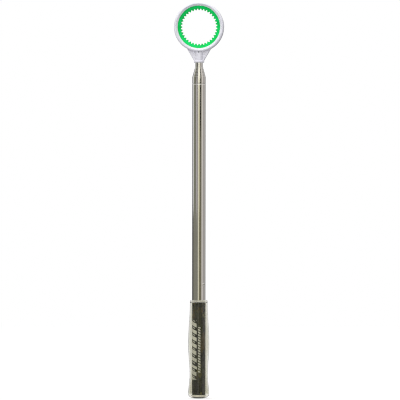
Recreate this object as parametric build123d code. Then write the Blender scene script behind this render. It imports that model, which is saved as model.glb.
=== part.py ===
from build123d import *
import math
import os

# Telescopic ball retriever: a ring head with a soft toothed insert, on a rod of
# nested stainless tubes, with a clear hollow grip over a printed film at the butt.
# Millimetres. The rod lies along +Z and the origin is the middle of the butt.
# -Y is the front, and the ring's own axis lies along Y.

# ---- Rod tubes, closed ----
section_count = 8          # nested tubes, counted from the one in the grip
outer_tube_diameter = 16.0
diameter_step = 1.0        # each tube is this much smaller than the one round it
tube_wall = 0.30
outer_tube_length = 378.9
mouth_stagger = 1.8        # each mouth stands this far above the next larger one
running_gap = 0.04         # radial, between a rolled mouth and the tube in it

# ---- Rolled mouth and stop bead of each tube ----
mouth_land = 1.2           # straight length of the rolled-in mouth
mouth_taper = 0.8          # the wall turns in over this length below the land
mouth_round = 0.20         # rounding of the mouth's outer edge
bead_drop = 8.8            # middle of the stop bead below the mouth
bead_width = 1.6

# ---- Split friction sleeves at the foot of each sliding tube ----
sleeve_length = 20.0
sleeve_split = 1.2         # width of the split along the sleeve
sleeve_seat_depth = 0.10   # turned into the tube's outside
sleeve_end_play = 0.2
sleeve_bore_gap = 0.03     # radial, sleeve in the larger tube's bore
sleeve_seat_gap = 0.02     # radial, sleeve on its own tube
foot_below_seat = 2.5      # plain tube below the sleeve's seat
stop_gap = 0.3             # left between the pieces that meet at either stop

# ---- Drain hole in the outer tube ----
drain_hole_diameter = 2.4
drain_rim_width = 0.6
drain_rim_height = 0.22
drain_above_grip = 18.5
drain_angle = 52.0         # degrees from the front, towards +X

# ---- End plug in the foot of the outer tube ----
plug_foot_height = 2.3
plug_spigot_length = 9.0
plug_fit = 0.05            # radial, spigot in the tube
plug_wall = 4.6            # of the cup-shaped spigot
plug_floor = 2.0
plug_lead = 0.6            # chamfer that leads the spigot in

# ---- Grip: a hollow clear sleeve, its outside given as a height over the tube ----
grip_length = 116.8
grip_wall = 1.4
grip_floor = 2.0
grip_rim_height = 2.0      # solid ring round the tube at the mouth of the grip
grip_rim_over_tube = 2.4
grip_bulge_over_tube = 4.45
grip_bulge_height = 60.0
grip_waist_over_tube = 3.05
grip_waist_height = 21.5
grip_flare_over_tube = 4.5
grip_flare_height = 5.2
grip_butt_flat = 4.0       # radius of the flat the rod stands on
grip_rim_round = 0.8
grip_fit = 0.04            # radial, rim on the tube
collar_wall = 1.0          # collar on the grip's floor, round the tube's foot
collar_height = 2.6
collar_fit = 0.05

# ---- Printed film round the tube inside the grip ----
label_thickness = 0.12
label_end_gap = 0.1

# ---- Soft toothed insert, sized by the ball that it grips ----
ball_diameter = 42.67
tooth_bite = 1.25          # how far a tooth tip reaches inside the ball's radius
tooth_height = 1.75
tooth_count = 36
tooth_tip_width = 0.8
tooth_root_width = 2.8
tooth_depth = 3.6          # front to back
funnel_width = 3.5         # sloping band from the tooth roots out to the shells
funnel_inner_depth = 5.0   # front to back, where the funnel meets the teeth
insert_edge_gap = 0.15     # radial, round the insert's rim and its funnel

# ---- Ring of the head: two shells that close on each other ----
ring_band = 4.26           # radial width of the shells' face
ring_depth = 13.0          # front to back
ring_face_wall = 2.6       # from the bead's crown in to the channel
ring_rim_wall = 2.0
ring_edge_round = 2.0      # outer edge of the bead
ring_step_round = 0.5      # inner edge of the bead
ring_lip_drop = 1.3        # the face slopes this far back to the lip
ring_lip_chamfer = 0.5
tongue_width = 0.8         # locating tongue of the front shell, in the rear one
tongue_height = 0.6
tongue_gap = 0.05

# ---- Neck of the head ----
head_gap_above_mouths = 5.6   # bare rod between the last mouth and the neck
neck_height = 12.9         # underside of the neck to the ring's lowest point
tube_seat_depth = 8.4      # bore of the neck that takes the end of the last tube
head_fit = 0.05            # radial, metal pieces in the plastic neck
boss_wall = 0.6            # round the tube seat
neck_lip_width = 1.0       # the lip stands this far out from the boss
neck_lip_height = 2.4
neck_lip_round = 0.6
web_thickness = 5.0
web_lip_inset = 0.2        # the web's foot stays inside the lip
web_half_width = 14.9      # where it meets the ring
web_sink = 0.6             # the web's corners lie this deep in the ring
web_edge_round = 0.9

# ---- Rod tip: the plug that joins the last tube to the head ----
tip_spigot_length = 14.0
tip_spigot_fit = 0.02      # radial, in the last tube
tip_stem_step = 1.2        # the stem's radius is this much less than the spigot's
tip_lead = 0.5             # chamfer at both ends
stem_top_wall = 0.8        # plastic between the stem and the ring's channel

# ---- Cross pin of the neck ----
pin_radius = 0.8
pin_fit = 0.02             # radial
pin_dome = 0.3             # rounded ends that stand out of the boss
pin_below_ring = 0.4       # pin's axis below the ring's lowest point

# ---- Places and radii that follow from the sizes above ----
tube_foot_z = grip_floor + plug_foot_height
plug_top_z = tube_foot_z + plug_spigot_length
inner_foot_z = plug_top_z + stop_gap
outer_mouth_z = tube_foot_z + outer_tube_length
last_mouth_z = outer_mouth_z + (section_count - 2) * mouth_stagger
seat_low_z = inner_foot_z + foot_below_seat
seat_high_z = seat_low_z + sleeve_length + 2 * sleeve_end_play
roll_in = diameter_step / 2 - tube_wall - running_gap

tooth_tip_radius = ball_diameter / 2 - tooth_bite
tooth_root_radius = tooth_tip_radius + tooth_height
ring_lip_radius = tooth_root_radius + funnel_width
ring_outer_radius = ring_lip_radius + ring_band
half_depth = ring_depth / 2
channel_radius = ring_outer_radius - ring_rim_wall
channel_half_depth = half_depth - ring_face_wall
rim_middle_radius = ring_outer_radius - ring_rim_wall / 2

neck_z = last_mouth_z + head_gap_above_mouths
ring_bottom_z = neck_z + neck_height
ring_centre_z = ring_bottom_z + ring_outer_radius
lip_top_z = neck_z + neck_lip_height
last_tube_top_z = neck_z + tube_seat_depth - stop_gap
stem_top_z = ring_centre_z - channel_radius - stem_top_wall
pin_z = ring_bottom_z - pin_below_ring


def tube_radius(section):
    """Outside radius of a tube."""
    return outer_tube_diameter / 2 - (section - 1) * diameter_step / 2


last_tube_radius = tube_radius(section_count)
tip_spigot_radius = last_tube_radius - tube_wall - tip_spigot_fit
stem_radius = tip_spigot_radius - tip_stem_step
boss_radius = last_tube_radius + head_fit + boss_wall
neck_lip_radius = boss_radius + neck_lip_width


def mouth_z(section):
    """Height of a tube's rolled mouth with the rod closed."""
    return outer_mouth_z + (section - 1) * mouth_stagger


def foot_z(section):
    """Height of a tube's lower end with the rod closed."""
    return tube_foot_z if section == 1 else inner_foot_z


def section_travel(section):
    """How far a section slides out before its sleeve meets the bead round it."""
    bead_foot = mouth_z(section - 1) - bead_drop - bead_width / 2
    return bead_foot - stop_gap - (seat_high_z - sleeve_end_play)


def outline(*steps):
    """A closed wire through (x, y) points, where a (via, end) pair draws an arc."""
    here = steps[0]
    edges = []
    for step in steps[1:]:
        if isinstance(step[0], tuple):
            edges.append(ThreePointArc(here, *step))
            here = step[1]
        else:
            edges.append(Line(here, step))
            here = step
    return Wire(edges + [Line(here, steps[0])])


def quarter_round(start, corner, end):
    """The (via, end) pair of a quarter arc that rounds a square corner."""
    share = 1 - math.sqrt(0.5)
    middle_x = corner[0] + share * (start[0] + end[0] - 2 * corner[0])
    middle_y = corner[1] + share * (start[1] + end[1] - 2 * corner[1])
    return (middle_x, middle_y), end


def lathe(wire):
    """A solid turned about the rod from a wire drawn as (radius, height)."""
    return revolve(Plane.XZ * make_face(wire), Axis.Z)


def ring_lathe(wire):
    """A solid turned about the ring's axis from a wire drawn as (radius, depth)."""
    return Pos(0, 0, ring_centre_z) * revolve(make_face(wire), Axis.Y)


def sleeve_seat(section):
    """Outline points of the turned seat on a sliding tube, from the foot upwards."""
    outside = tube_radius(section)
    seat = outside - sleeve_seat_depth
    return [(outside, seat_low_z), (seat, seat_low_z), (seat, seat_high_z), (outside, seat_high_z)]


def rolled_tube(section):
    """A tube with its mouth rolled in and its stop bead; a sliding one has a sleeve seat."""
    outside = tube_radius(section)
    inside = outside - tube_wall
    foot = foot_z(section)
    top = mouth_z(section)
    bead = top - bead_drop
    half = bead_width / 2
    edge = (outside, top - mouth_round)
    rolled_edge = quarter_round(edge, (outside, top), (outside - mouth_round, top))
    steps = [(inside, foot), (outside, foot)]
    if section > 1:
        steps += sleeve_seat(section)
    steps += [
        (outside, bead - half),
        ((outside - roll_in, bead), (outside, bead + half)),
        edge,
        rolled_edge,
        (inside - roll_in, top),
        (inside - roll_in, top - mouth_land),
        (inside, top - mouth_land - mouth_taper),
        (inside, bead + half),
        ((inside - roll_in, bead), (inside, bead - half)),
    ]
    return lathe(outline(*steps))


def outer_tube():
    """The largest tube, with a pierced drain hole whose rim stands proud."""
    radius = tube_radius(1)
    hole_radius = drain_hole_diameter / 2
    rim_radius = hole_radius + drain_rim_width
    reach = radius + drain_rim_height
    centre = Pos(0, 0, grip_length + drain_above_grip)
    outwards = Rot(0, 0, drain_angle) * centre * Rot(90, 0, 0)
    skin = centre * (Cylinder(reach, 4 * rim_radius) - Cylinder(radius - tube_wall / 2, 4 * rim_radius))
    rim = extrude(outwards * Circle(rim_radius), amount=reach) & skin
    hole = extrude(outwards * Circle(hole_radius), amount=reach)
    return rolled_tube(1) + rim - hole


def last_tube():
    """The smallest tube, plain at its top, where the rod tip closes it."""
    outside = tube_radius(section_count)
    inside = outside - tube_wall
    foot = [(inside, inner_foot_z), (outside, inner_foot_z)]
    top = [(outside, last_tube_top_z), (inside, last_tube_top_z)]
    return lathe(outline(*foot, *sleeve_seat(section_count), *top))


def friction_sleeve(section):
    """A split brass sleeve that rides in the seat at the foot of a sliding tube."""
    inside = tube_radius(section) - sleeve_seat_depth + sleeve_seat_gap
    outside = tube_radius(section - 1) - tube_wall - sleeve_bore_gap
    low = seat_low_z + sleeve_end_play
    high = low + sleeve_length
    lead = (outside - inside) / 3
    ring = lathe(
        outline(
            (inside, low),
            (outside - lead, low),
            (outside, low + lead),
            (outside, high - lead),
            (outside - lead, high),
            (inside, high),
        )
    )
    behind = Pos(0, outside, (low + high) / 2)
    return ring - behind * Box(sleeve_split, 2 * outside, 2 * sleeve_length)


def end_plug():
    """A moulded cup that closes the outer tube and stops the sections inside it."""
    outside = tube_radius(1)
    spigot = outside - tube_wall - plug_fit
    bore = spigot - plug_wall
    return lathe(
        outline(
            (0, grip_floor),
            (outside, grip_floor),
            (outside, tube_foot_z),
            (spigot, tube_foot_z),
            (spigot, plug_top_z - plug_lead),
            (spigot - plug_lead, plug_top_z),
            (bore, plug_top_z),
            (bore, tube_foot_z + plug_floor),
            (0, tube_foot_z + plug_floor),
        )
    )


def grip_side(inset):
    """The grip's side from flare to rim as one curve, upright at both ends."""
    side = [
        (grip_flare_over_tube, grip_flare_height),
        (grip_waist_over_tube, grip_waist_height),
        (grip_bulge_over_tube, grip_bulge_height),
        (grip_rim_over_tube, grip_length - grip_rim_height),
    ]
    points = [(tube_radius(1) + over - inset, height) for over, height in side]
    return Spline(*points, tangents=[(0, 1), (0, 1)])


def quarter_ellipse(start, end):
    """An elliptical quarter from a level start, outwards and up to an upright end."""
    centre = (start[0], end[1])
    across = end[0] - start[0]
    upwards = end[1] - start[1]
    return EllipticalCenterArc(centre, across, upwards, start_angle=270, arc_size=90)


def grip_sleeve():
    """The hollow clear grip: domed butt, flare, waist, bulge, and a rim on the tube."""
    tube = tube_radius(1)
    bore = tube + grip_fit
    rim_low = grip_length - grip_rim_height
    flare = (tube + grip_flare_over_tube, grip_flare_height)
    inner_flare = (flare[0] - grip_wall, grip_flare_height)
    rim = tube + grip_rim_over_tube
    rim_edge = (rim, grip_length - grip_rim_round)
    rim_top = (rim - grip_rim_round, grip_length)
    collar_in = tube + label_thickness + collar_fit
    collar_out = collar_in + collar_wall
    collar_top = grip_floor + collar_height
    outer = [
        Line((0, 0), (grip_butt_flat, 0)),
        quarter_ellipse((grip_butt_flat, 0), flare),
        grip_side(0),
        Line((rim, rim_low), rim_edge),
        ThreePointArc(rim_edge, *quarter_round(rim_edge, (rim, grip_length), rim_top)),
        Line(rim_top, (bore, grip_length)),
    ]
    inner = [
        Line((bore, grip_length), (bore, rim_low)),
        Line((bore, rim_low), (rim - grip_wall, rim_low)),
        grip_side(grip_wall),
        quarter_ellipse((collar_out, grip_floor), inner_flare),
        Line((collar_out, grip_floor), (collar_out, collar_top)),
        Line((collar_out, collar_top), (collar_in, collar_top)),
        Line((collar_in, collar_top), (collar_in, grip_floor)),
        Line((collar_in, grip_floor), (0, grip_floor)),
        Line((0, grip_floor), (0, 0)),
    ]
    return lathe(Wire(outer + inner))


def grip_label():
    """The printed film wrapped round the outer tube."""
    inside = tube_radius(1)
    outside = inside + label_thickness
    low = tube_foot_z + label_end_gap
    high = grip_length - grip_rim_height - label_end_gap
    return lathe(outline((inside, low), (outside, low), (outside, high), (inside, high)))


def ring_front():
    """The front half of the hollow ring: bead, stepped face, lip and channel."""
    front = -half_depth
    outer = ring_outer_radius
    crown = outer - ring_edge_round
    step = crown - ring_step_round
    lip = ring_lip_radius
    bead_side = (outer, front + ring_edge_round)
    step_foot = (step, front + ring_step_round)
    return ring_lathe(
        outline(
            (channel_radius, 0),
            (outer, 0),
            bead_side,
            quarter_round(bead_side, (outer, front), (crown, front)),
            quarter_round((crown, front), (step, front), step_foot),
            (lip + ring_lip_chamfer, front + ring_lip_drop),
            (lip, front + ring_lip_drop + ring_lip_chamfer),
            (lip, -channel_half_depth),
            (channel_radius, -channel_half_depth),
        )
    )


def tongue(grown_by):
    """The locating tongue round the middle of the rim, or its groove when grown."""
    half = tongue_width / 2 + grown_by
    high = tongue_height + grown_by
    inside = rim_middle_radius - half
    outside = rim_middle_radius + half
    return ring_lathe(outline((inside, 0), (outside, 0), (outside, high), (inside, high)))


def web():
    """The flat web that spreads from the lip of the neck to the ring."""
    foot = neck_lip_radius - web_lip_inset
    low = neck_z + neck_lip_height / 2
    meets_ring = ring_centre_z - math.sqrt(ring_outer_radius**2 - web_half_width**2)
    wide = meets_ring + web_sink
    right = [(foot, low), (foot, lip_top_z), (web_half_width, wide), (web_half_width, ring_centre_z)]
    left = [(-x, z) for x, z in reversed(right)]
    face = Plane.XZ * make_face(Polyline(*right, *left, close=True))
    plate = extrude(face, amount=web_thickness / 2, both=True)
    slant = Vector(web_half_width - foot, 0, wide - lip_top_z).length
    sides = [edge for edge in plate.edges() if abs(edge.length - slant) < web_edge_round / 2]
    return fillet(sides, web_edge_round)


def neck_outside():
    """The neck before it is bored and split: lip, boss and web, trimmed at the rim."""
    lip = Pos(0, 0, neck_z + neck_lip_height / 2) * Cylinder(neck_lip_radius, neck_lip_height)
    lip = fillet(lip.edges().filter_by(GeomType.CIRCLE), neck_lip_round)
    boss = Plane.XY.offset(neck_z + neck_lip_height / 2) * Circle(boss_radius)
    boss = extrude(boss, amount=ring_centre_z - neck_z)
    ring_room = Pos(0, 0, ring_centre_z) * Rot(90, 0, 0) * Cylinder(rim_middle_radius, 2 * ring_depth)
    return lip + boss + web() - ring_room


def pin_hole():
    """The cross hole for the pin, longer than the neck is deep."""
    return Pos(0, 0, pin_z) * Rot(90, 0, 0) * Cylinder(pin_radius + pin_fit, 2 * ring_depth)


def neck_bores():
    """What is bored out of the neck: tube seat, stem bore and pin hole."""
    seat_top = neck_z + tube_seat_depth
    seat_middle = (neck_z + seat_top) / 2
    seat = Pos(0, 0, seat_middle) * Cylinder(last_tube_radius + head_fit, tube_seat_depth)
    stem_length = stem_top_z + head_fit - neck_z
    stem = Pos(0, 0, neck_z + stem_length / 2) * Cylinder(stem_radius + head_fit, stem_length)
    return seat + stem + pin_hole()


def head_shell(front):
    """One half of the head; the front one has the tongue and the rear one its groove."""
    side = -1 if front else 1
    ring = ring_front() if front else mirror(ring_front(), Plane.XZ)
    reach = 4 * ring_outer_radius
    half_space = Pos(0, side * reach / 2, neck_z) * Box(reach, reach, reach)
    shell = ring + (neck_outside() & half_space)
    shell = shell + tongue(0) if front else shell - tongue(tongue_gap)
    return shell - neck_bores()


def gripping_ring():
    """The soft insert: a flange held in the shells, funnel faces and inward teeth."""
    rim = channel_radius - insert_edge_gap
    face = ring_lip_radius - insert_edge_gap
    body = ring_lathe(
        outline(
            (tooth_root_radius, -funnel_inner_depth / 2),
            (face, -channel_half_depth),
            (rim, -channel_half_depth),
            (rim, channel_half_depth),
            (face, channel_half_depth),
            (tooth_root_radius, funnel_inner_depth / 2),
        )
    )
    root_angle = tooth_root_width / 2 / tooth_root_radius
    tip_angle = tooth_tip_width / 2 / tooth_tip_radius
    tooth = [
        (tooth_root_radius, -root_angle),
        (tooth_tip_radius, -tip_angle),
        (tooth_tip_radius, tip_angle),
        (tooth_root_radius, root_angle),
    ]
    toothed_edge = []
    for number in range(tooth_count):
        turn = 2 * math.pi * number / tooth_count
        toothed_edge += [
            (radius * math.sin(turn + angle), radius * math.cos(turn + angle))
            for radius, angle in tooth
        ]
    hole = make_face(Polyline(*toothed_edge, close=True))
    band = Circle((tooth_root_radius + face) / 2) - hole
    teeth = extrude(Plane.XZ * band, amount=tooth_depth / 2, both=True)
    return body + Pos(0, 0, ring_centre_z) * teeth


def rod_tip_plug():
    """The turned plug crimped in the last tube, with a stem up into the neck."""
    low = last_tube_top_z - tip_spigot_length
    plug = lathe(
        outline(
            (0, low),
            (tip_spigot_radius - tip_lead, low),
            (tip_spigot_radius, low + tip_lead),
            (tip_spigot_radius, last_tube_top_z),
            (stem_radius, last_tube_top_z),
            (stem_radius, stem_top_z - tip_lead),
            (stem_radius - tip_lead, stem_top_z),
            (0, stem_top_z),
        )
    )
    return plug - pin_hole()


def neck_pin():
    """A plain cross pin with domed ends, from front to back through neck and tip."""
    dome_radius = (pin_radius**2 + pin_dome**2) / (2 * pin_dome)
    shank = Cylinder(pin_radius, 2 * (boss_radius + pin_dome))
    ball = Sphere(dome_radius)
    reach = boss_radius + pin_dome - dome_radius
    top = Pos(0, 0, reach) * ball
    middle = Cylinder(pin_radius, 2 * reach)
    pin = middle + (shank & top) + (shank & mirror(top, Plane.XY))
    return Pos(0, 0, pin_z) * Rot(90, 0, 0) * pin


os.makedirs("parts", exist_ok=True)
pieces = {
    "grip_sleeve": grip_sleeve(),
    "grip_label": grip_label(),
    "tube_end_plug": end_plug(),
    "section_1_tube": outer_tube(),
    f"section_{section_count}_tube": last_tube(),
    "rod_tip_plug": rod_tip_plug(),
    "neck_pin": neck_pin(),
    "head_shell_front": head_shell(True),
    "head_shell_rear": head_shell(False),
    "gripping_ring": gripping_ring(),
}
for section in range(2, section_count):
    pieces[f"section_{section}_tube"] = rolled_tube(section)
for section in range(2, section_count + 1):
    pieces[f"section_{section}_sleeve"] = friction_sleeve(section)
    print(f"section_{section} slides out {section_travel(section):.2f} mm")
for name, piece in pieces.items():
    export_step(piece, os.path.join("parts", name + ".step"))
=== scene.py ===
"""Looks of the telescopic ball retriever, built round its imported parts.

Lengths are millimetres unless a heading says metres, and meshes are written in metres.
The rod stands along +Z, its front faces -Y, and the ring's own axis lies along Y.
Colours are linear red, green and blue.
"""
import math

import bmesh
import bpy
import numpy as np
from mathutils import Matrix, Vector


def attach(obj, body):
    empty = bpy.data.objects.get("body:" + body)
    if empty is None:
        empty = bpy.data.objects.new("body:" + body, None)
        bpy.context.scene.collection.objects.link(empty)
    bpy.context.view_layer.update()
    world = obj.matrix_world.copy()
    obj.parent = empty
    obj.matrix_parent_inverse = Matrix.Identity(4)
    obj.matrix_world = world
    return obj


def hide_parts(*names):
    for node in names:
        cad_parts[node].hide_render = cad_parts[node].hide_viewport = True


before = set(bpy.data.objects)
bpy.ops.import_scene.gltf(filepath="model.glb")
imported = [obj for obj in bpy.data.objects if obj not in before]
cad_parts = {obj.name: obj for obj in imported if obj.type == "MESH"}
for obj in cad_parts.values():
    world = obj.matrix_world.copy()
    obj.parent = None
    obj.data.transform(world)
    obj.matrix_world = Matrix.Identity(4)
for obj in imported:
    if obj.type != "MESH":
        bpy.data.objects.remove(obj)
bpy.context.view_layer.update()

MM = 0.001

# ---- Tubes ----
SECTIONS = 8
TUBE_RADIUS = 8.0
RADIUS_STEP = 0.5
TUBE_WALL = 0.30
ROLL_IN = 0.16
OUTER_MOUTH = 383.2
MOUTH_STAGGER = 1.8
OUTER_FOOT = 4.3
INNER_FOOT = 13.6
LAST_TUBE_TOP = 407.7
SEAT_LOW = 16.1
SEAT_HIGH = 36.5
SEAT_DEPTH = 0.10
SEAT_LAND = 0.2
MOUTH_LAND = 1.2
MOUTH_TAPER = 0.8
MOUTH_ROUND = 0.20
BEAD_DROP = 8.8
BEAD_HALF = 0.8
BEAD_STEPS = 13
# The lip's rounded inner edge: steps out from the lip, and down from the top.
LIP_EDGE = ((0.12, 0.0), (0.04, 0.02), (0.01, 0.06), (0.0, 0.14))
DRAIN_HEIGHT = 135.3
DRAIN_ANGLE = math.radians(52.0 - 90.0)
DRAIN_RADIUS = 1.2
DRAIN_RIM_WIDTH = 0.6
DRAIN_RIM_HEIGHT = 0.20
# Cells of the wall's grid from the middle of the hole's square window to its side.
DRAIN_WINDOW = 11
TUBE_TURNS = 160
OUTER_TUBE_TURNS = 192
# Edges of the cut tube ends: the rounding, the step that starts it, and the plain land beside it.
END_ROUND = 0.06
END_STEP = 0.02
END_LAND = 0.3

# ---- View, in metres and radians, with the lens in millimetres ----
VIEW_TURN = math.radians(4.5)
VIEW_ROLL = math.radians(0.07)
VIEW_LENS = 400.0
VIEW_DISTANCE = 5.291
VIEW_HEIGHT = 0.2361
VIEW_ASIDE = 0.0013


def place_camera():
    """A long lens level with the middle of the rod, a little to the right of its front."""
    data = bpy.data.cameras.new("studio_camera")
    data.lens = VIEW_LENS
    data.sensor_width = 36.0
    data.clip_end = 100.0
    camera = bpy.data.objects.new("studio_camera", data)
    bpy.context.scene.collection.objects.link(camera)
    back = Vector((math.sin(VIEW_TURN), -math.cos(VIEW_TURN), 0.0))
    level = Vector((math.cos(VIEW_TURN), math.sin(VIEW_TURN), 0.0))
    upright = Vector((0.0, 0.0, 1.0))
    across = level * math.cos(VIEW_ROLL) + upright * math.sin(VIEW_ROLL)
    upwards = upright * math.cos(VIEW_ROLL) - level * math.sin(VIEW_ROLL)
    place = level * VIEW_ASIDE + upright * VIEW_HEIGHT + back * VIEW_DISTANCE
    turn = Matrix((across, upwards, back)).transposed().to_4x4()
    camera.matrix_world = Matrix.Translation(place) @ turn
    bpy.context.scene.camera = camera


# ---- Node helpers ----
class Wiring:
    """Adds nodes to one tree and joins them, with sockets given by name or number."""

    def __init__(self, tree):
        self.tree = tree

    def add(self, kind, settings=None, **inputs):
        """A node with its settings and its inputs, where an underscore stands for a space."""
        node = self.tree.nodes.new(kind)
        for name, value in (settings or {}).items():
            setattr(node, name, value)
        for name, value in inputs.items():
            self.feed(node, name.replace("_", " "), value)
        return node

    def feed(self, node, socket, value):
        """Links a socket to an input, or sets a plain value on it."""
        target = node.inputs[socket]
        if isinstance(value, bpy.types.NodeSocket):
            self.tree.links.new(value, target)
        else:
            target.default_value = value

    def math(self, operation, *values, clamp=False):
        node = self.tree.nodes.new("ShaderNodeMath")
        node.operation = operation
        node.use_clamp = clamp
        for number, value in enumerate(values):
            self.feed(node, number, value)
        return node.outputs[0]

    def spread(self, value, low, high, to_low=0.0, to_high=1.0, smooth=False):
        """Maps low..high of a value to to_low..to_high, held at both ends."""
        node = self.tree.nodes.new("ShaderNodeMapRange")
        node.interpolation_type = "SMOOTHSTEP" if smooth else "LINEAR"
        for number, number_value in enumerate((value, low, high, to_low, to_high)):
            self.feed(node, number, number_value)
        return node.outputs[0]

    def blend(self, share, first, second, how="MIX"):
        """Mixes two colours by a share."""
        node = self.tree.nodes.new("ShaderNodeMix")
        node.data_type = "RGBA"
        node.blend_type = how
        self.feed(node, 0, share)
        for socket, value in ((6, first), (7, second)):
            self.feed(node, socket, value if isinstance(value, bpy.types.NodeSocket) else (*value, 1.0))
        return node.outputs[2]

    def noise(self, place, scale, detail=3.0, roughness=0.55):
        """The plain value of a noise, about a half on average."""
        node = self.add("ShaderNodeTexNoise", Vector=place, Scale=scale, Detail=detail, Roughness=roughness)
        return node.outputs[0]

    def stretched(self, place, scale):
        """A place scaled along each axis, so that a small scale draws a pattern out."""
        return self.add("ShaderNodeMapping", Vector=place, Scale=scale).outputs[0]

    def group(self, tree, **inputs):
        node = self.tree.nodes.new("ShaderNodeGroup")
        node.node_tree = tree
        for name, value in inputs.items():
            self.feed(node, name.replace("_", " "), value)
        return node


def new_group(name, inputs, outputs):
    """An empty node group with float inputs (name, default) and named float outputs."""
    tree = bpy.data.node_groups.new(name, "ShaderNodeTree")
    for socket_name, value in inputs:
        socket = tree.interface.new_socket(name=socket_name, in_out="INPUT", socket_type="NodeSocketFloat")
        socket.default_value = value
    for socket_name in outputs:
        tree.interface.new_socket(name=socket_name, in_out="OUTPUT", socket_type="NodeSocketFloat")
    wires = Wiring(tree)
    return tree, wires, wires.add("NodeGroupInput"), wires.add("NodeGroupOutput")


def object_place(wires):
    return wires.add("ShaderNodeTexCoord").outputs["Object"]


# ---- Shared surface effects ----
# In the shaders, noise scales are per metre, and bump distances are metres. The printed film
# has a flat map of its own in millimetres, where noise scales are per millimetre.
def drawn_lines_group():
    """Fine lines along Z left by drawing and polishing, with broad soft bands under them."""
    tree, wires, given, result = new_group(
        "drawn_lines", (("Fineness", 2600.0), ("Streak Length", 0.006)), ("Lines", "Bands")
    )
    place = object_place(wires)
    squeeze = wires.add("ShaderNodeCombineXYZ", X=1.0, Y=1.0, Z=given.outputs["Streak Length"]).outputs[0]
    along = wires.add("ShaderNodeVectorMath", {"operation": "MULTIPLY"})
    wires.feed(along, 0, place)
    wires.feed(along, 1, squeeze)
    fine = wires.noise(along.outputs[0], given.outputs["Fineness"], detail=4.0, roughness=0.65)
    wires.feed(result, "Lines", wires.spread(fine, 0.3, 0.7))
    broad_scale = wires.math("MULTIPLY", given.outputs["Fineness"], 0.16)
    broad = wires.noise(along.outputs[0], broad_scale, detail=2.0)
    wires.feed(result, "Bands", wires.spread(broad, 0.32, 0.68, smooth=True))
    return tree


def handling_group():
    """Finger smudges as soft blotches, and sparse hairline scuffs that run round the rod."""
    tree, wires, given, result = new_group(
        "handling_marks", (("Smudge Size", 34.0), ("Scuff Amount", 0.5)), ("Smudges", "Scuffs")
    )
    place = object_place(wires)
    blotch = wires.noise(place, given.outputs["Smudge Size"], detail=4.0, roughness=0.6)
    wires.feed(result, "Smudges", wires.spread(blotch, 0.45, 0.68, smooth=True))
    across = wires.stretched(place, (0.12, 0.12, 1.0))
    hair = wires.noise(across, 1500.0, detail=2.0, roughness=0.5)
    patches = wires.noise(place, 60.0, detail=2.0)
    hairs = wires.spread(hair, 0.66, 0.74)
    where = wires.spread(patches, 0.5, 0.66)
    both = wires.math("MULTIPLY", hairs, where)
    wires.feed(result, "Scuffs", wires.math("MULTIPLY", both, given.outputs["Scuff Amount"]))
    return tree


def moulded_group():
    """Clouding inside a moulded plastic, and the fine grain of its skin."""
    tree, wires, given, result = new_group(
        "moulded_plastic", (("Cloud Size", 120.0), ("Grain Size", 2200.0)), ("Clouds", "Grain")
    )
    place = object_place(wires)
    cloud = wires.noise(place, given.outputs["Cloud Size"], detail=3.0)
    wires.feed(result, "Clouds", wires.spread(cloud, 0.34, 0.66, smooth=True))
    grain = wires.noise(place, given.outputs["Grain Size"], detail=2.0, roughness=0.5)
    wires.feed(result, "Grain", grain)
    return tree


def round_rod_group():
    """Where a point lies round the rod: arc length from the front in millimetres, and height."""
    tree, wires, given, result = new_group("round_rod", (("Radius", 8.0),), ("Arc", "Height"))
    parts = wires.add("ShaderNodeSeparateXYZ", Vector=object_place(wires))
    backwards = wires.math("MULTIPLY", parts.outputs["Y"], -1.0)
    angle = wires.math("ARCTAN2", parts.outputs["X"], backwards)
    wires.feed(result, "Arc", wires.math("MULTIPLY", angle, given.outputs["Radius"]))
    wires.feed(result, "Height", wires.math("MULTIPLY", parts.outputs["Z"], 1000.0))
    return tree


drawn_lines = drawn_lines_group()
handling_marks = handling_group()
moulded_plastic = moulded_group()
round_rod = round_rod_group()


# ---- Materials ----
def new_material(name):
    """A material with one Principled BSDF; gives the material, its wiring and its shader."""
    material = bpy.data.materials.new(name)
    material.use_nodes = True
    material.node_tree.nodes.clear()
    wires = Wiring(material.node_tree)
    shader = wires.add("ShaderNodeBsdfPrincipled")
    wires.add("ShaderNodeOutputMaterial", Surface=shader.outputs[0])
    return material, wires, shader


def raise_bump(wires, shader, height, distance, strength=1.0):
    bump = wires.add("ShaderNodeBump", Height=height, Distance=distance, Strength=strength)
    wires.feed(shader, "Normal", bump.outputs[0])


STEEL_DIM_BAND = (0.66, 0.65, 0.62)
STEEL_BRIGHT_BAND = (0.74, 0.73, 0.70)
STEEL_LINE = (0.50, 0.48, 0.44)
STEEL_SCUFF = (0.86, 0.85, 0.83)


def drawn_steel():
    """Bright-drawn stainless tube: lengthwise lines, soft bands, smudges and hairline scuffs."""
    material, wires, shader = new_material("drawn_stainless")
    lines = wires.group(drawn_lines, Fineness=2600.0, Streak_Length=0.006)
    marks = wires.group(handling_marks, Smudge_Size=34.0, Scuff_Amount=0.6)
    banded = wires.blend(lines.outputs["Bands"], STEEL_DIM_BAND, STEEL_BRIGHT_BAND)
    lined = wires.blend(wires.math("MULTIPLY", lines.outputs["Lines"], 0.16), banded, STEEL_LINE)
    wires.feed(shader, "Base Color", wires.blend(marks.outputs["Scuffs"], lined, STEEL_SCUFF))
    shader.inputs["Metallic"].default_value = 1.0
    lined_rough = wires.math("MULTIPLY_ADD", lines.outputs["Lines"], 0.05, 0.12)
    smudged = wires.math("MULTIPLY_ADD", marks.outputs["Smudges"], 0.05, lined_rough)
    wires.feed(shader, "Roughness", wires.math("MULTIPLY_ADD", marks.outputs["Scuffs"], 0.12, smudged))
    raise_bump(wires, shader, lines.outputs["Lines"], distance=0.0000015)
    return material


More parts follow.
